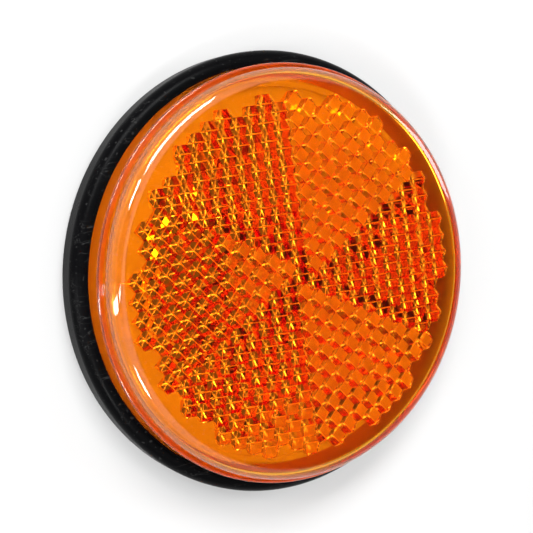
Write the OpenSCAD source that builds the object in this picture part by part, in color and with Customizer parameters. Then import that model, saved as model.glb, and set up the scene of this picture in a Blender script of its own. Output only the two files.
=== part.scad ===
// Round stick-on reflector: an amber lens with a field of cube-corner prisms, closed by a pale back plate,
// in a black dished housing
// Origin at the middle of the back, +Z out through the lens, +Y towards the top of the prism pattern

/* [Housing] */
// Outer diameter of the housing
housing_d = 60; // [50:0.5:80]
// Height of the housing, from its flat back to its lip
housing_h = 4; // [3.4:0.1:7]
// Thickness of the housing's floor
floor_t = 1.4; // [1:0.1:1.8]
// Radius that rounds the wall into the lip
shoulder_r = 1.5; // [0.6:0.1:2]
// Width of the flat lip round the lens
lip_w = 0.5; // [0.3:0.1:1.5]
// Radius that rounds the wall into the back
base_r = 0.3; // [0.1:0.1:0.5]
// Gap round the lens in the housing
lens_gap = 0.05; // [0.02:0.01:0.2]

/* [Lens] */
// Height of the lens front above the housing's lip
lens_rise = 5.5; // [4:0.1:7]
// Height of the lens's collar above the lip
collar_h = 2.9; // [1:0.1:3]
// Step from the collar in to the crown of the lens
collar_step = 0.7; // [0.3:0.1:1.2]
// Radius of the edge at the top of the collar
collar_round = 0.3; // [0.1:0.05:0.3]
// Radius that rounds the crown into the flat front
crown_r = 1.9; // [0.8:0.1:2.1]
// Thickness of the front plate outside the prisms
plate_t = 1.8; // [1.4:0.1:2.5]
// Thickness of the lens's side wall at the collar
wall_t = 1.8; // [1.5:0.1:2.4]
// Radius inside the lens, between its wall and its plate
inner_r = 0.6; // [0.2:0.1:1]

/* [Back plate] */
// Thickness of the plate that closes the lens from behind
back_plate_t = 1; // [0.8:0.1:1.4]
// Width of the rib that centres the plate in the lens
rib_w = 0.8; // [0.5:0.1:1.2]
// Height of the rib
rib_h = 0.6; // [0.3:0.1:1]
// Gap between the rib and the lens's wall
rib_gap = 0.25; // [0.1:0.05:0.5]

/* [Prisms] */
// Width of one prism across its flats
prism_pitch = 2.4; // [2:0.1:4]
// Radius of the circle that holds the prisms
field_r = 24.8; // [12:0.2:25]
// Height of the land that the prisms stand on
land_h = 0.3; // [0.1:0.1:0.6]

/* [Adhesive pad] */
// Thickness of the foam pad
pad_t = 1; // [0.5:0.1:2]
// Diameter of the foam pad
pad_d = 50; // [30:1:55]
// Thickness of the paper over the adhesive
liner_t = 0.1; // [0.08:0.01:0.2]
// Margin of the paper round the pad
liner_margin = 0.5; // [0:0.1:1]
// Width of the paper's pull tab
tab_w = 9; // [6:0.5:12]
// Length of the pull tab, from the edge of the paper
tab_l = 3; // [1:0.25:4]

/* [Hidden] */
$fn = 96;

// Levels, from the surface that the reflector lies on
pad_z = liner_t;
housing_z = pad_z + pad_t;
lip_z = housing_z + housing_h;
floor_z = housing_z + floor_t;
seat_z = floor_z + back_plate_t;
collar_z = lip_z + collar_h;
front_z = lip_z + lens_rise;
plate_z = front_z - plate_t;

// Radii of the rings, each from the one outside it
housing_r = housing_d / 2;
mouth_r = housing_r - shoulder_r - lip_w;
collar_r = mouth_r - lens_gap;
crown_side_r = collar_r - collar_step;
lens_inner_r = collar_r - wall_t;
rib_r = lens_inner_r - rib_gap;

// A prism is the corner of a cube seen down its diagonal, which fills a hexagon.
// Going up from its tip, three of its corners lie one rise higher and the other three two rises.
corner_r = prism_pitch / sqrt(3);
rise = prism_pitch / sqrt(6);
valley_z = plate_z - land_h;
ridge_z = valley_z - rise;
tip_z = ridge_z - rise;
root_z = plate_z + plate_t / 4;

// Cells sit on whole steps of half a corner radius across and half a pitch up, so shared corners agree exactly
step_x = corner_r / 2;
step_y = prism_pitch / 2;
corner_steps = [[2, 0], [1, 1], [-1, 1], [-2, 0], [-1, -1], [1, -1]];
reach = ceil(field_r / prism_pitch) + 1;

function place(steps) = [steps.x * step_x, steps.y * step_y];
function fits(cell) = max([for (s = corner_steps) norm(place(cell + s))]) <= field_r;

// Six sectors of 60 degrees meet at the middle, and the prisms turn by 60 degrees from each to the next
function sector(cell) = floor((atan2(place(cell).y, place(cell).x) + 390.001) / 60);
function turned(cell) = cell == [0, 0] ? 0 : sector(cell) % 2;

cells = [
    for (i = [-2 * reach : 2 * reach], j = [-2 * reach : 2 * reach])
        if (fits([3 * i, i + 2 * j])) [3 * i, i + 2 * j]
];

// One cell's neighbour across the side from corner k to corner k + 1
function neighbour(cell, k) = cell + corner_steps[k] + corner_steps[(k + 1) % 6];

// The ridges of a prism end at every other corner, one rise below the valleys of the other three
function on_ridge(cell, k) = (k + turned(cell)) % 2 == 0;
function is_free(cell, k) = !fits(neighbour(cell, k));
function is_step(cell, k) = fits(neighbour(cell, k)) && turned(neighbour(cell, k)) != turned(cell);

// A cell's points: its tip, its corners at ridge and at valley level, the middles of its sides, its root
function at_level(points, z) = [for (p = points) [p.x, p.y, z]];
function cell_points(cell) =
    let (
        corners = [for (s = corner_steps) place(cell + s)],
        middles = [for (k = [0 : 5]) place((cell + neighbour(cell, k)) / 2)]
    )
    concat(
        at_level([place(cell)], tip_z),
        at_level(corners, ridge_z),
        at_level(corners, valley_z),
        at_level(middles, (ridge_z + valley_z) / 2),
        at_level(corners, root_z)
    );
tip_at = 0;
ridge_at = tip_at + 1;
valley_at = ridge_at + 6;
middle_at = valley_at + 6;
root_at = middle_at + 6;
points_per_cell = root_at + 6;

function step_middle(cell, k) = is_step(cell, k) ? [middle_at + k] : [];

// The three square faces of the cube corner, each with a valley corner between two ridge corners
function cube_faces(cell) = [
    for (k = [0 : 5])
        let (before = (k + 5) % 6, after = (k + 1) % 6)
            if (!on_ridge(cell, k))
                concat([tip_at, ridge_at + before], step_middle(cell, before),
                       [valley_at + k], step_middle(cell, k), [ridge_at + after])
];

// Where the prisms turn, two neighbours cross at the middle of the side and each shows half of a wall
function step_walls(cell) = [
    for (k = [0 : 5]) if (is_step(cell, k)) let (after = (k + 1) % 6)
        on_ridge(cell, k)
            ? [valley_at + k, middle_at + k, ridge_at + k]
            : [valley_at + after, ridge_at + after, middle_at + k]
];

// At the edge of the field a side drops straight from the root
function free_walls(cell) = [
    for (k = [0 : 5]) if (is_free(cell, k)) let (after = (k + 1) % 6)
        on_ridge(cell, k)
            ? [root_at + after, valley_at + after, ridge_at + k, valley_at + k, root_at + k]
            : [root_at + k, root_at + after, valley_at + after, ridge_at + after, valley_at + k]
];
function cell_faces(cell) = concat(
    cube_faces(cell), step_walls(cell), free_walls(cell), [[for (k = [5 : -1 : 0]) root_at + k]]
);

module prism_field() {
    polyhedron(
        points = [for (cell = cells) each cell_points(cell)],
        faces = [
            for (c = [0 : len(cells) - 1], face = cell_faces(cells[c]))
                [for (i = face) c * points_per_cell + i]
        ],
        convexity = 6
    );
}

// Section of a disc of radius r and height h whose upper edge is rounded
module rounded_disc(r, h, edge_r) {
    square([r, h - edge_r]);
    square([r - edge_r, h]);
    translate([r - edge_r, h - edge_r]) circle(edge_r);
}

module lens_section() {
    difference() {
        translate([0, seat_z]) {
            rounded_disc(collar_r, collar_z - seat_z, collar_round);
            rounded_disc(crown_side_r, front_z - seat_z, crown_r);
        }
        square([lens_inner_r, seat_z]);
        translate([0, seat_z]) rounded_disc(lens_inner_r, plate_z - seat_z, inner_r);
    }
}

module lens() {
    color("orange", 0.8) {
        rotate_extrude() lens_section();
        prism_field();
    }
}

module housing_section() {
    difference() {
        translate([0, housing_z]) intersection() {
            rounded_disc(housing_r, housing_h, shoulder_r);
            translate([0, housing_h]) mirror([0, 1]) rounded_disc(housing_r, housing_h, base_r);
        }
        translate([0, floor_z]) square([mouth_r, housing_h]);
    }
}

module housing() {
    color([0.11, 0.11, 0.12]) rotate_extrude() housing_section();
}

module back_plate() {
    color([0.86, 0.85, 0.82]) {
        translate([0, 0, floor_z]) cylinder(r = collar_r, h = back_plate_t);
        translate([0, 0, seat_z]) difference() {
            cylinder(r = rib_r, h = rib_h);
            translate([0, 0, -rib_h]) cylinder(r = rib_r - rib_w, h = 3 * rib_h);
        }
    }
}

module adhesive_pad() {
    color([0.2, 0.2, 0.21]) translate([0, 0, pad_z]) cylinder(d = pad_d, h = pad_t);
}

// The paper's tab stays under the housing, so it can't be seen from the front
module release_liner() {
    liner_r = pad_d / 2 + liner_margin;
    tab_r = liner_r + tab_l;
    color([0.93, 0.9, 0.8]) {
        cylinder(r = liner_r, h = liner_t);
        intersection() {
            cylinder(r = tab_r, h = liner_t);
            translate([-tab_w / 2, -tab_r, 0]) cube([tab_w, tab_r, liner_t]);
        }
    }
}

housing();
back_plate();
lens();
adhesive_pad();
release_liner();
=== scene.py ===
from functools import partial
import math

import bmesh
import bpy
from mathutils import Matrix, Vector


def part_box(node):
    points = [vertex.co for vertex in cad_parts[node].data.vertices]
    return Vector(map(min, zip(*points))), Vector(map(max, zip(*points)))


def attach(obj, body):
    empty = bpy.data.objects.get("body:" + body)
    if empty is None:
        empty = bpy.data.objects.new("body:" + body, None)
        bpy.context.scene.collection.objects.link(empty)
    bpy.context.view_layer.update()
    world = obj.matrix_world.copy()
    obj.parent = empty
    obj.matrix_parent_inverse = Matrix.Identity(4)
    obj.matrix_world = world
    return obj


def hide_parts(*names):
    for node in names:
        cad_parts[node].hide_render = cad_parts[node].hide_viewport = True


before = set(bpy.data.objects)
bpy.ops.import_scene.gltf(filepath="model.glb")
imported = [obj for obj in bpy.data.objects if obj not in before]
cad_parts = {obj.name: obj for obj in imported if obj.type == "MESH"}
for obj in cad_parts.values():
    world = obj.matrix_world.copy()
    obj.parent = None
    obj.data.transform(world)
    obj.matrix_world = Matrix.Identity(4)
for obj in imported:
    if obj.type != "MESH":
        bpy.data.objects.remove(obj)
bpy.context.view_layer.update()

# A round stick-on reflector lying on its back: a black housing round an amber lens with prisms inside it.
# Sizes in the dictionaries are millimetres and degrees, in the frame of the CAD part.

mm = 0.001
scene = bpy.context.scene


def boxOf(node):
    low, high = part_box(node)
    return {"bottom": low.z / mm, "top": high.z / mm, "radius": max(high.x, high.y) / mm}


housingBox = boxOf("housing")
lensBox = boxOf("lens")
backPlateBox = boxOf("back_plate")
padBox = boxOf("adhesive_pad")
linerBox = boxOf("release_liner")


# Node trees

def addNode(tree, kind, sockets=None, **settings):
    node = tree.nodes.new(kind)
    for name, value in settings.items():
        setattr(node, name, value)
    for key, value in (sockets or {}).items():
        if isinstance(value, bpy.types.NodeSocket):
            tree.links.new(value, node.inputs[key])
        elif isinstance(value, bpy.types.Node):
            tree.links.new(value.outputs[0], node.inputs[key])
        else:
            node.inputs[key].default_value = value
    return node


def maths(tree, operation, *values):
    return addNode(tree, "ShaderNodeMath", dict(enumerate(values)), operation=operation).outputs[0]


def ramp(tree, value, fromRange, toRange=(0, 1)):
    return addNode(tree, "ShaderNodeMapRange", {
        "Value": value,
        "From Min": fromRange[0],
        "From Max": fromRange[1],
        "To Min": toRange[0],
        "To Max": toRange[1],
    }, clamp=True).outputs[0]


def addSocket(tree, name, kind, inOut="INPUT"):
    tree.interface.new_socket(name=name, in_out=inOut, socket_type=kind)


# Turned shapes: an outline is a list of corners (r, z, rounding), where a rounding of 0 leaves a sharp corner

turning = {
    "steps": 256,  # once round the axis
    "stepsPerArc": 8,  # in each rounded corner
    "support": 0.03,  # width of a band beside each rounding, which keeps the flats looking flat
    "sharpAngle": 28,  # an edge that turns more than this stays sharp
}


def roundedOutline(corners):
    points = []
    for i, (r, z, rounding) in enumerate(corners):
        here = Vector((r, z))
        if rounding == 0:
            points.append(here)
            continue
        before = (Vector(corners[i - 1][:2]) - here).normalized()
        after = (Vector(corners[i + 1][:2]) - here).normalized()
        half = before.angle(after) / 2
        reach = rounding / math.tan(half)
        centre = here + (before + after).normalized() * rounding / math.sin(half)
        start = here + before * reach - centre
        end = here + after * reach - centre
        swept = start.angle(end)
        points.append(centre + start + before * turning["support"])
        for k in range(turning["stepsPerArc"] + 1):
            part = swept * k / turning["stepsPerArc"]
            spoke = start * math.sin(swept - part) + end * math.sin(part)
            points.append(centre + spoke.normalized() * rounding)
        points.append(centre + end + after * turning["support"])
    return points


# Each outline runs from the axis back to the axis, where a ring is one point
def turned(name, corners):
    mesh = bmesh.new()
    rings = []
    for r, z in roundedOutline(corners):
        ring = []
        for k in range(turning["steps"] if r else 1):
            angle = math.tau * k / turning["steps"]
            ring.append(mesh.verts.new((r * math.cos(angle) * mm, r * math.sin(angle) * mm, z * mm)))
        rings.append(ring)
    for low, high in zip(rings, rings[1:]):
        for k in range(turning["steps"]):
            around = [ring[(k + j) % len(ring)] for ring, j in ((low, 0), (low, 1), (high, 1), (high, 0))]
            mesh.faces.new(list(dict.fromkeys(around)))
    bmesh.ops.recalc_face_normals(mesh, faces=mesh.faces)
    return placed(name, mesh)


def placed(name, mesh):
    data = bpy.data.meshes.new(name)
    mesh.to_mesh(data)
    mesh.free()
    smoothed(data)
    piece = bpy.data.objects.new(name, data)
    scene.collection.objects.link(piece)
    return piece


def smoothed(data):
    data.shade_smooth()
    data.set_sharp_from_angle(angle=math.radians(turning["sharpAngle"]))


def bakeModifiers(piece):
    graph = bpy.context.evaluated_depsgraph_get()
    data = bpy.data.meshes.new_from_object(piece.evaluated_get(graph), depsgraph=graph)
    piece.modifiers.clear()
    piece.data = data
    data.name = piece.name


# The lens: a turned cap, and a field of cube-corner prisms that grows down from the underside of its front

lensShape = {
    "collarHeight": 2.9,  # above the housing's lip
    "collarStep": 0.7,  # from the collar in to the crown
    "collarRounding": 0.3,
    "crownRounding": 1.9,
    "plate": 1.8,  # thickness of the front
    "wall": 1.8,  # thickness of the side at the collar
    "innerRounding": 0.6,
    "weldGap": 0.03,  # between the lens and the back plate
}
prisms = {
    "pitch": 2.4,  # across the flats of a cell
    "fieldRadius": 24.8,
    "land": 0.3,  # from the plate down to the valleys
    "root": 0.45,  # from the plate's underside up into it
    "ridgeRounding": 0.13,
    "ridgeSteps": 4,
    "ridgeProfile": 0.5,  # a round one
    "overlap": 0.002,  # of each prism into its neighbours, which joins them
    "lean": 0.12,
    "leanSeed": 7,
    "sectorShift": 390.001,  # a turn, half a sector and a hair, so that no cell lies on a border
}

plateBottom = lensBox["top"] - lensShape["plate"]


def lensBody():
    collarTop = housingBox["top"] + lensShape["collarHeight"]
    crownSide = lensBox["radius"] - lensShape["collarStep"]
    inner = lensBox["radius"] - lensShape["wall"]
    foot = lensBox["bottom"] + lensShape["weldGap"]
    return turned("lens_body", [
        (0, plateBottom, 0),
        (inner, plateBottom, lensShape["innerRounding"]),
        (inner, foot, 0),
        (lensBox["radius"], foot, 0),
        (lensBox["radius"], collarTop, lensShape["collarRounding"]),
        (crownSide, collarTop, 0),
        (crownSide, lensBox["top"], lensShape["crownRounding"]),
        (0, lensBox["top"], 0),
    ])


# One prism is the corner of a cube seen down its diagonal, on a six-sided root
def prismPin():
    cornerRadius = prisms["pitch"] / math.sqrt(3)
    rise = prisms["pitch"] / math.sqrt(6)
    tipZ = plateBottom - prisms["land"] - 2 * rise
    rootZ = plateBottom + prisms["root"]
    grown = 1 + prisms["overlap"] / cornerRadius
    mesh = bmesh.new()
    tip = mesh.verts.new((0, 0, tipZ * mm))
    corners = []
    roots = []
    for k in range(6):
        x = cornerRadius * grown * math.cos(math.radians(60 * k)) * mm
        y = cornerRadius * grown * math.sin(math.radians(60 * k)) * mm
        drop = 2 * rise if k % 2 else rise
        corners.append(mesh.verts.new((x, y, (tipZ + drop * grown) * mm)))
        roots.append(mesh.verts.new((x, y, rootZ * mm)))
    for k in range(6):
        after = (k + 1) % 6
        mesh.faces.new([corners[k], corners[after], roots[after], roots[k]])
        if k % 2:
            mesh.faces.new([tip, corners[k - 1], corners[k], corners[after]])
    mesh.faces.new(roots)
    bmesh.ops.recalc_face_normals(mesh, faces=mesh.faces)
    bmesh.ops.bevel(
        mesh,
        geom=list(tip.link_edges),
        offset=prisms["ridgeRounding"] * mm,
        segments=prisms["ridgeSteps"],
        profile=prisms["ridgeProfile"],
        affect="EDGES",
    )
    return placed("prism_pin", mesh)


def prismTree(pin, material):
    tree = bpy.data.node_groups.new("prismField", "GeometryNodeTree")
    addSocket(tree, "Geometry", "NodeSocketGeometry")
    for name in ("Pitch", "Field Radius", "Lean"):
        addSocket(tree, name, "NodeSocketFloat")
    addSocket(tree, "Seed", "NodeSocketInt")
    addSocket(tree, "Geometry", "NodeSocketGeometry", "OUTPUT")
    given = addNode(tree, "NodeGroupInput").outputs
    pitch = given["Pitch"]
    radius = given["Field Radius"]
    do = partial(maths, tree)

    # Rows and columns of a lattice wide enough for the field
    reach = do("CEIL", do("ADD", do("DIVIDE", radius, pitch), 1))
    width = do("ADD", do("MULTIPLY", reach, 4), 1)
    middle = do("MULTIPLY", reach, 2)
    points = addNode(tree, "GeometryNodePoints", {"Count": do("MULTIPLY", width, width)})
    index = addNode(tree, "GeometryNodeInputIndex")
    column = do("SUBTRACT", do("FLOOR", do("DIVIDE", index, width)), middle)
    row = do("SUBTRACT", do("FLOORED_MODULO", index, width), middle)
    corner = do("DIVIDE", pitch, math.sqrt(3))
    x = do("MULTIPLY", column, do("MULTIPLY", corner, 1.5))
    y = do("MULTIPLY", do("ADD", do("MULTIPLY", column, 0.5), row), pitch)
    cells = addNode(tree, "GeometryNodeSetPosition", {
        "Geometry": points,
        "Position": addNode(tree, "ShaderNodeCombineXYZ", {"X": x, "Y": y}),
    })

    # A cell stays where its farthest corner lies inside the field
    position = addNode(tree, "GeometryNodeInputPosition")
    place = addNode(tree, "ShaderNodeSeparateXYZ", {"Vector": position})
    distance = addNode(tree, "ShaderNodeVectorMath", {0: position}, operation="LENGTH").outputs["Value"]
    angle = do("ARCTAN2", place.outputs["Y"], place.outputs["X"])
    sixth = math.radians(60)
    nearest = do("MULTIPLY", do("ROUND", do("DIVIDE", angle, sixth)), sixth)
    offset = do("SUBTRACT", angle, nearest)
    farX = do("ADD", do("MULTIPLY", distance, do("COSINE", offset)), corner)
    farY = do("MULTIPLY", distance, do("SINE", offset))
    farthest = do("SQRT", do("ADD", do("MULTIPLY", farX, farX), do("MULTIPLY", farY, farY)))
    outside = do("GREATER_THAN", farthest, radius)

    # Six sectors meet at the middle, and the prisms turn by 60 degrees from each to the next
    sector = do("FLOOR", do("DIVIDE", do("ADD", angle, math.radians(prisms["sectorShift"])), sixth))
    offCentre = do("GREATER_THAN", distance, do("MULTIPLY", pitch, 0.5))
    turn = do("MULTIPLY", do("FLOORED_MODULO", sector, 2), do("MULTIPLY", offCentre, sixth))

    # Each prism leans a little its own way, as the pins of a worn mould do
    random = addNode(tree, "FunctionNodeRandomValue", {
        "Min": (-1, -1, 0),
        "Max": (1, 1, 0),
        "Seed": given["Seed"],
    }, data_type="FLOAT_VECTOR")
    ownWay = addNode(tree, "ShaderNodeSeparateXYZ", {"Vector": random})
    leanX = do("MULTIPLY", ownWay.outputs["X"], given["Lean"])
    leanY = do("MULTIPLY", ownWay.outputs["Y"], given["Lean"])

    # Three sets in which no prism touches another of its set, so that each set is a sound solid to be joined
    setOf = do("FLOORED_MODULO", do("SUBTRACT", column, row), 3)
    shape = addNode(tree, "GeometryNodeObjectInfo", {"Object": pin}).outputs["Geometry"]
    rotation = addNode(tree, "ShaderNodeCombineXYZ", {"X": leanX, "Y": leanY, "Z": turn})
    joined = addNode(tree, "GeometryNodeMeshBoolean", operation="UNION", solver="MANIFOLD")
    tree.links.new(given["Geometry"], joined.inputs["Mesh 2"])
    for which in range(3):
        inOtherSet = do("GREATER_THAN", do("ABSOLUTE", do("SUBTRACT", setOf, which)), 0.5)
        kept = addNode(tree, "GeometryNodeDeleteGeometry", {
            "Geometry": cells,
            "Selection": do("MAXIMUM", outside, inOtherSet),
        })
        pins = addNode(tree, "GeometryNodeInstanceOnPoints", {
            "Points": kept,
            "Instance": shape,
            "Rotation": rotation,
        })
        solid = addNode(tree, "GeometryNodeRealizeInstances", {"Geometry": pins})
        tree.links.new(solid.outputs[0], joined.inputs["Mesh 2"])
    real = addNode(tree, "GeometryNodeRealizeInstances", {"Geometry": joined})
    dressed = addNode(tree, "GeometryNodeSetMaterial", {"Geometry": real, "Material": material})
    addNode(tree, "NodeGroupOutput", {"Geometry": dressed})
    return tree


def makeLens(material):
    lens = lensBody()
    pin = prismPin()
    modifier = lens.modifiers.new("prisms", "NODES")
    modifier.node_group = prismTree(pin, material)
    settings = {
        "Pitch": prisms["pitch"] * mm,
        "Field Radius": prisms["fieldRadius"] * mm,
        "Lean": math.radians(prisms["lean"]),
        "Seed": prisms["leanSeed"],
    }
    for item in modifier.node_group.interface.items_tree:
        if item.name in settings:
            modifier[item.identifier] = settings[item.name]
    bakeModifiers(lens)
    bpy.data.objects.remove(pin)
    lens.name = "amber_lens"
    smoothed(lens.data)
    lens.modifiers.new("flat faces", "WEIGHTED_NORMAL").keep_sharp = True
    bakeModifiers(lens)
    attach(lens, "root")
    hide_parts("lens")
    print("lens:", len(lens.data.polygons), "faces")


# Materials

def newMaterial(name):
    material = bpy.data.materials.new(name)
    material.use_nodes = True
    tree = material.node_tree
    return material, tree, tree.nodes["Principled BSDF"]


# Grain, scratches and dust that every piece of the object shares, as a colour, a roughness and a height

wear = {
    "patchSize": 4.0,
    "detail": 2.0,
    "noiseMiddle": 0.5,
    "scratchSpacing": 0.8,
    "scratchStretch": 0.04,  # the smaller this is, the longer the scratches are
    "scratchTilt": (0.3, 0.2),  # radians
    "scratchAngle": 55,
    "scratchEdge": (0.002, 0.012),  # share of a noise's range, from the scratch to the clean plastic
    "scratchedPatches": (0.5, 0.6),  # noise levels, from clean patches to scratched ones
    "scratchDepth": 0.3,
    "speckSize": 0.45,
    "speckDetail": 0.0,
    "speckLevels": (0.74, 0.8),  # noise levels, from clean plastic to dust
    "markRoughness": 0.25,
}


def wearGroup():
    tree = bpy.data.node_groups.new("surfaceWear", "ShaderNodeTree")
    addSocket(tree, "Colour", "NodeSocketColor")
    addSocket(tree, "Worn Colour", "NodeSocketColor")
    for name in ("Roughness", "Mottling", "Grain Size", "Grain Height", "Scratches", "Dust"):
        addSocket(tree, name, "NodeSocketFloat")
    addSocket(tree, "Colour", "NodeSocketColor", "OUTPUT")
    addSocket(tree, "Roughness", "NodeSocketFloat", "OUTPUT")
    addSocket(tree, "Height", "NodeSocketFloat", "OUTPUT")
    given = addNode(tree, "NodeGroupInput").outputs
    where = addNode(tree, "ShaderNodeTexCoord").outputs["Object"]
    do = partial(maths, tree)

    def noise(size, vector=where, detail=wear["detail"]):
        inMillimetres = addNode(tree, "ShaderNodeVectorMath", {0: vector, "Scale": 1 / mm}, operation="SCALE")
        return addNode(tree, "ShaderNodeTexNoise", {
            "Vector": inMillimetres,
            "Scale": do("DIVIDE", 1, size),
            "Detail": detail,
        }).outputs[0]

    patches = noise(wear["patchSize"])
    grain = noise(given["Grain Size"])

    # Scratches are thin bands of a noise that is stretched along one direction, in some patches only
    along = addNode(tree, "ShaderNodeMapping", {
        "Vector": where,
        "Rotation": (*wear["scratchTilt"], math.radians(wear["scratchAngle"])),
        "Scale": (wear["scratchStretch"], 1, 1),
    })
    fromScratch = do("ABSOLUTE", do("SUBTRACT", noise(wear["scratchSpacing"], along), wear["noiseMiddle"]))
    lines = do("SUBTRACT", 1, ramp(tree, fromScratch, wear["scratchEdge"]))
    inPatches = do("MULTIPLY", lines, ramp(tree, patches, wear["scratchedPatches"]))
    scratched = do("MULTIPLY", inPatches, given["Scratches"])
    specks = ramp(tree, noise(wear["speckSize"], detail=wear["speckDetail"]), wear["speckLevels"])
    marked = do("MAXIMUM", scratched, do("MULTIPLY", specks, given["Dust"]))

    colour = addNode(tree, "ShaderNodeMix", {
        "Factor": marked,
        "A": given["Colour"],
        "B": given["Worn Colour"],
    }, data_type="RGBA")
    uneven = do("MULTIPLY", do("SUBTRACT", patches, wear["noiseMiddle"]), given["Mottling"])
    markedRoughness = do("MULTIPLY", marked, wear["markRoughness"])
    rough = do("ADD", do("ADD", given["Roughness"], uneven), markedRoughness)
    grooves = do("MULTIPLY", scratched, wear["scratchDepth"])
    addNode(tree, "NodeGroupOutput", {
        "Colour": colour.outputs["Result"],
        "Roughness": rough,
        "Height": do("SUBTRACT", do("MULTIPLY", grain, given["Grain Height"]), grooves),
    })
    return tree


wearTree = wearGroup()


def wornSurface(tree, shader, looks):
    worn = addNode(tree, "ShaderNodeGroup", looks["worn"], node_tree=wearTree)
    bump = addNode(tree, "ShaderNodeBump", {
        "Height": worn.outputs["Height"],
        "Distance": looks["depth"] * mm,
    })
    tree.links.new(worn.outputs["Colour"], shader.inputs["Base Color"])
    tree.links.new(worn.outputs["Roughness"], shader.inputs["Roughness"])
    tree.links.new(bump.outputs[0], shader.inputs["Normal"])
    return worn.outputs["Roughness"]


amber = {
    "ior": 1.605,
    "passed": (0.998, 0.957, 0.9),  # colour that the plastic's depth lets through
    "perMetre": 3000,  # how fast the depth takes that colour on
    "satinRoughness": 0.6,
    "satinReach": 0.1,  # from the inner wall
    "satinDrop": 0.2,  # from the plate's underside
    "depth": 0.002,  # of the grain
    "worn": {
        "Colour": (1.0, 0.66, 0.07, 1),
        "Worn Colour": (1.0, 0.7, 0.4, 1),
        "Roughness": 0.012,
        "Mottling": 0.01,
        "Grain Size": 1.5,
        "Grain Height": 0.3,
        "Scratches": 0.25,
        "Dust": 0.5,
    },
}


def amberPlastic():
    material, tree, shader = newMaterial("amber_plastic")
    shader.inputs["Transmission Weight"].default_value = 1
    shader.inputs["IOR"].default_value = amber["ior"]
    rough = wornSurface(tree, shader, amber)
    do = partial(maths, tree)

    # The mould leaves the inside of the side wall satin, while the optical faces are polished
    objectPlace = addNode(tree, "ShaderNodeTexCoord").outputs["Object"]
    place = addNode(tree, "ShaderNodeSeparateXYZ", {"Vector": objectPlace}).outputs
    across = addNode(tree, "ShaderNodeCombineXYZ", {"X": place["X"], "Y": place["Y"]})
    radius = addNode(tree, "ShaderNodeVectorMath", {0: across}, operation="LENGTH").outputs["Value"]
    inner = (lensBox["radius"] - lensShape["wall"]) * mm
    near = do("COMPARE", radius, inner, amber["satinReach"] * mm)
    below = do("LESS_THAN", place["Z"], (plateBottom - amber["satinDrop"]) * mm)
    satin = do("MULTIPLY", do("MULTIPLY", near, below), amber["satinRoughness"])
    tree.links.new(do("MAXIMUM", rough, satin), shader.inputs["Roughness"])
    absorption = addNode(tree, "ShaderNodeVolumeAbsorption", {
        "Color": (*amber["passed"], 1),
        "Density": amber["perMetre"],
    })
    tree.links.new(absorption.outputs[0], tree.nodes["Material Output"].inputs["Volume"])
    return material


# The black housing, a low pan with a rounded shoulder and a narrow flat lip

housingShape = {
    "floor": 1.4,  # its thickness
    "shoulder": 1.5,
    "base": 0.3,
    "lipEdge": 0.05,
    "gap": 0.05,  # round the lens
}
black = {
    "specular": 0.03,
    "depth": 0.02,
    "worn": {
        "Colour": (0.0015, 0.0015, 0.0018, 1),
        "Worn Colour": (0.02, 0.02, 0.02, 1),
        "Roughness": 0.3,
        "Mottling": 0.2,
        "Grain Size": 0.25,
        "Grain Height": 0.5,
        "Scratches": 1.0,
        "Dust": 0.8,
    },
}


def blackPlastic():
    material, tree, shader = newMaterial("black_plastic")
    shader.inputs["Specular IOR Level"].default_value = black["specular"]
    wornSurface(tree, shader, black)
    return material


def makeHousing(material):
    floor = housingBox["bottom"] + housingShape["floor"]
    mouth = lensBox["radius"] + housingShape["gap"]
    housing = turned("black_housing", [
        (0, housingBox["bottom"], 0),
        (housingBox["radius"], housingBox["bottom"], housingShape["base"]),
        (housingBox["radius"], housingBox["top"], housingShape["shoulder"]),
        (mouth, housingBox["top"], housingShape["lipEdge"]),
        (mouth, floor, 0),
        (0, floor, 0),
    ])
    housing.data.materials.append(material)
    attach(housing, "root")
    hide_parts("housing")
    print("housing:", len(housing.data.polygons), "faces")


# The pale back plate that closes the lens from behind, with a rib that centres it

backPlateShape = {"thickness": 1.0, "ribGap": 0.25, "ribWidth": 0.8, "ribRounding": 0.15}
pale = {
    "depth": 0.02,
    "worn": {
        "Colour": (0.93, 0.92, 0.89, 1),
        "Worn Colour": (0.7, 0.69, 0.66, 1),
        "Roughness": 0.45,
        "Mottling": 0.2,
        "Grain Size": 0.3,
        "Grain Height": 0.5,
        "Scratches": 0.3,
        "Dust": 0.3,
    },
}


def palePlastic():
    material, tree, shader = newMaterial("pale_plastic")
    wornSurface(tree, shader, pale)
    return material


def makeBackPlate(material):
    top = backPlateBox["bottom"] + backPlateShape["thickness"]
    rib = backPlateBox["radius"] - lensShape["wall"] - backPlateShape["ribGap"]
    ribInside = rib - backPlateShape["ribWidth"]
    plate = turned("pale_back_plate", [
        (0, backPlateBox["bottom"], 0),
        (backPlateBox["radius"], backPlateBox["bottom"], 0),
        (backPlateBox["radius"], top, 0),
        (rib, top, 0),
        (rib, backPlateBox["top"], backPlateShape["ribRounding"]),
        (ribInside, backPlateBox["top"], backPlateShape["ribRounding"]),
        (ribInside, top, 0),
        (0, top, 0),
    ])
    plate.data.materials.append(material)
    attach(plate, "root")
    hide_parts("back_plate")
    print("back plate:", len(plate.data.polygons), "faces")


# The foam pad on the housing's back

padShape = {"edge": 0.12}  # its rounding
foam = {
    "depth": 0.12,
    "worn": {
        "Colour": (0.03, 0.03, 0.032, 1),
        "Worn Colour": (0.08, 0.08, 0.08, 1),
        "Roughness": 0.9,
        "Mottling": 0.1,
        "Grain Size": 0.12,
        "Grain Height": 1.0,
        "Scratches": 0.0,
        "Dust": 0.6,
    },
}


def foamTape():
    material, tree, shader = newMaterial("foam_tape")
    wornSurface(tree, shader, foam)
    return material


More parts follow.
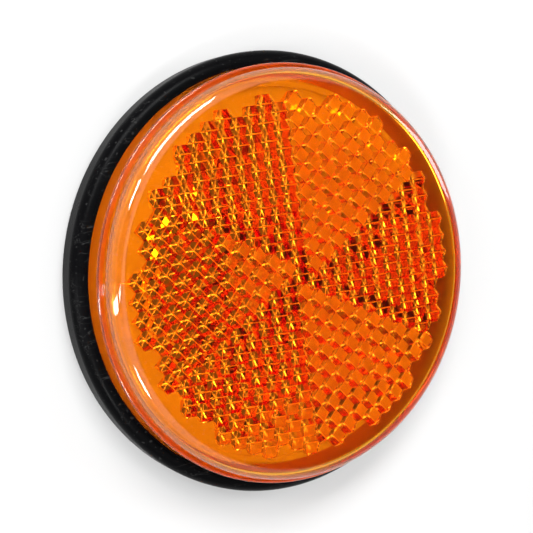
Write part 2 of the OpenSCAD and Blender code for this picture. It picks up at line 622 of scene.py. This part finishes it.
def makePad(material):
    pad = turned("foam_pad", [
        (0, padBox["bottom"], 0),
        (padBox["radius"], padBox["bottom"], padShape["edge"]),
        (padBox["radius"], padBox["top"], padShape["edge"]),
        (0, padBox["top"], 0),
    ])
    pad.data.materials.append(material)
    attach(pad, "root")
    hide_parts("adhesive_pad")
    print("foam pad:", len(pad.data.polygons), "faces")


# The paper that covers the pad's adhesive, with a pull tab

linerShape = {"tabWidth": 9.0, "tabLength": 3.0, "discSteps": 180, "tabSteps": 12}
paper = {
    "depth": 0.01,
    "worn": {
        "Colour": (0.82, 0.76, 0.62, 1),
        "Worn Colour": (0.6, 0.54, 0.42, 1),
        "Roughness": 0.6,
        "Mottling": 0.3,
        "Grain Size": 0.2,
        "Grain Height": 1.0,
        "Scratches": 0.2,
        "Dust": 0.2,
    },
}


def waxedPaper():
    material, tree, shader = newMaterial("waxed_paper")
    wornSurface(tree, shader, paper)
    return material


def makeLiner(material):
    half = linerShape["tabWidth"] / 2
    discRadius = linerBox["radius"]
    tabRadius = discRadius + linerShape["tabLength"]
    tabStart = math.asin(half / discRadius)
    tabEnd = math.asin(half / tabRadius)
    outline = []
    for radius, first, last, steps in (
        (discRadius, tabStart, math.tau - tabStart, linerShape["discSteps"]),
        (tabRadius, -tabEnd, tabEnd, linerShape["tabSteps"]),
    ):
        for k in range(steps + 1):
            angle = first + (last - first) * k / steps - math.pi / 2
            outline.append((radius * math.cos(angle) * mm, radius * math.sin(angle) * mm))
    mesh = bmesh.new()
    levels = (linerBox["bottom"] * mm, linerBox["top"] * mm)
    low, high = [[mesh.verts.new((x, y, z)) for x, y in outline] for z in levels]
    mesh.faces.new(low)
    mesh.faces.new(high)
    for k in range(len(outline)):
        after = (k + 1) % len(outline)
        mesh.faces.new([low[k], low[after], high[after], high[k]])
    bmesh.ops.recalc_face_normals(mesh, faces=mesh.faces)
    liner = placed("paper_liner", mesh)
    liner.data.materials.append(material)
    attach(liner, "root")
    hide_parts("release_liner")
    print("paper liner:", len(liner.data.polygons), "faces")


# Studio: floor, light and camera

studio = {
    "floorHalf": 1500,
    "floorColour": (0.37, 0.37, 0.37),
    "floorLift": 0.22,  # light that the floor seems to give, to the camera and in mirrors and glass
    "backdropTop": 0.22,  # heights of a direction, from 0 for level to 1 for straight up
    "skyStart": 0.38,
    "skyEnd": 0.85,
    "horizon": 1.0,  # strengths
    "lowSky": 0.35,
    "overhead": 1.2,
}


def makeFloor():
    half = studio["floorHalf"] * mm
    mesh = bmesh.new()
    corners = ((-half, -half), (half, -half), (half, half), (-half, half))
    mesh.faces.new([mesh.verts.new((x, y, 0)) for x, y in corners])
    floor = placed("studio_floor", mesh)
    material, tree, shader = newMaterial("pale_floor")
    shader.inputs["Base Color"].default_value = (*studio["floorColour"], 1)
    shader.inputs["Roughness"].default_value = 1
    shader.inputs["Specular IOR Level"].default_value = 0
    path = addNode(tree, "ShaderNodeLightPath").outputs
    reflectedOrThrough = maths(tree, "MAXIMUM", path["Is Glossy Ray"], path["Is Transmission Ray"])
    seen = maths(tree, "MAXIMUM", path["Is Camera Ray"], reflectedOrThrough)
    shader.inputs["Emission Color"].default_value = (1, 1, 1, 1)
    tree.links.new(maths(tree, "MULTIPLY", seen, studio["floorLift"]), shader.inputs["Emission Strength"])
    floor.data.materials.append(material)


blackFlags = {  # patches of the world that stay dark
    "roundTheCamera": {"aim": (-0.484, 0.144, 0.863), "radius": 16, "softness": 8, "left": 0.2},
    "facingTheFront": {"aim": (0.484, -0.144, 0.863), "radius": 17, "softness": 8, "left": 0.03},
}


def makeWorld():
    world = bpy.data.worlds.new("studio_world")
    world.use_nodes = True
    scene.world = world
    tree = world.node_tree
    background = tree.nodes["Background"]
    background.inputs["Color"].default_value = (1, 1, 1, 1)
    towards = addNode(tree, "ShaderNodeTexCoord").outputs["Generated"]
    up = addNode(tree, "ShaderNodeSeparateXYZ", {"Vector": towards}).outputs["Z"]
    backdrop = ramp(tree, up, (studio["backdropTop"], studio["skyStart"]), (studio["horizon"], 0))
    sky = ramp(tree, up, (studio["skyStart"], studio["skyEnd"]), (studio["lowSky"], studio["overhead"]))
    grey = maths(tree, "MAXIMUM", backdrop, sky)
    for flag in blackFlags.values():
        facing = addNode(tree, "ShaderNodeVectorMath", {
            0: towards,
            1: Vector(flag["aim"]).normalized(),
        }, operation="DOT_PRODUCT").outputs["Value"]
        outer = math.cos(math.radians(flag["radius"] + flag["softness"]))
        inner = math.cos(math.radians(flag["radius"]))
        grey = maths(tree, "MULTIPLY", grey, ramp(tree, facing, (outer, inner), (1, flag["left"])))
    tree.links.new(grey, background.inputs["Strength"])


softboxes = {
    "left": {"place": (-620, -60, 330), "size": (70, 420), "radiance": 22.0},
    "lowerLeft": {"place": (-350, -360, 505), "size": (120, 120), "radiance": 36.0},
    "upperLeft": {"place": (-350, 360, 505), "size": (120, 120), "radiance": 36.0},
    "key": {"place": (-235, -25, 440), "size": (24, 110), "radiance": 18.0},
    "top": {"place": (-60, 430, 460), "size": (360, 160), "radiance": 24.0},
    "right": {"place": (560, 60, 330), "size": (160, 300), "radiance": 9.0},
}


# Each softbox faces the object, and its power follows its area
def makeSoftbox(name, box):
    lamp = bpy.data.lights.new(name, "AREA")
    lamp.shape = "RECTANGLE"
    lamp.size = box["size"][0] * mm
    lamp.size_y = box["size"][1] * mm
    lamp.energy = box["radiance"] * math.pi * lamp.size * lamp.size_y
    holder = bpy.data.objects.new(name, lamp)
    holder.location = Vector(box["place"]) * mm
    holder.rotation_euler = (-holder.location).to_track_quat("-Z", "Y").to_euler()
    scene.collection.objects.link(holder)


photoCamera = {
    "place": (-69.55, 21.28, 124.2),
    "aim": (-2.65, 1.46, 5.0),
    "pictureUp": (0.1891, 0.9803, -0.0569),
    "lens": 69.56,
    "sensor": 36,
    "nearest": 5,  # only what lies between these distances is drawn
    "farthest": 20000,
}


def makeCamera():
    camera = bpy.data.cameras.new("photo_camera")
    camera.lens = photoCamera["lens"]
    camera.sensor_width = photoCamera["sensor"]
    camera.clip_start = photoCamera["nearest"] * mm
    camera.clip_end = photoCamera["farthest"] * mm
    holder = bpy.data.objects.new("photo_camera", camera)
    place = Vector(photoCamera["place"]) * mm
    back = (place - Vector(photoCamera["aim"]) * mm).normalized()
    right = Vector(photoCamera["pictureUp"]).cross(back).normalized()
    up = back.cross(right)
    holder.matrix_world = Matrix.Translation(place) @ Matrix((right, up, back)).transposed().to_4x4()
    scene.collection.objects.link(holder)
    scene.camera = holder


bounces = {"all": 24, "glossy": 16, "transmission": 20}  # enough for light to turn back in the prisms

makeLens(amberPlastic())
makeHousing(blackPlastic())
makeBackPlate(palePlastic())
makePad(foamTape())
makeLiner(waxedPaper())
makeFloor()
makeWorld()
for name, box in softboxes.items():
    makeSoftbox(name, box)
makeCamera()
print("studio:", len(softboxes), "softboxes and the photo's camera")
scene.view_settings.view_transform = "Standard"
scene.cycles.max_bounces = bounces["all"]
scene.cycles.glossy_bounces = bounces["glossy"]
scene.cycles.transmission_bounces = bounces["transmission"]
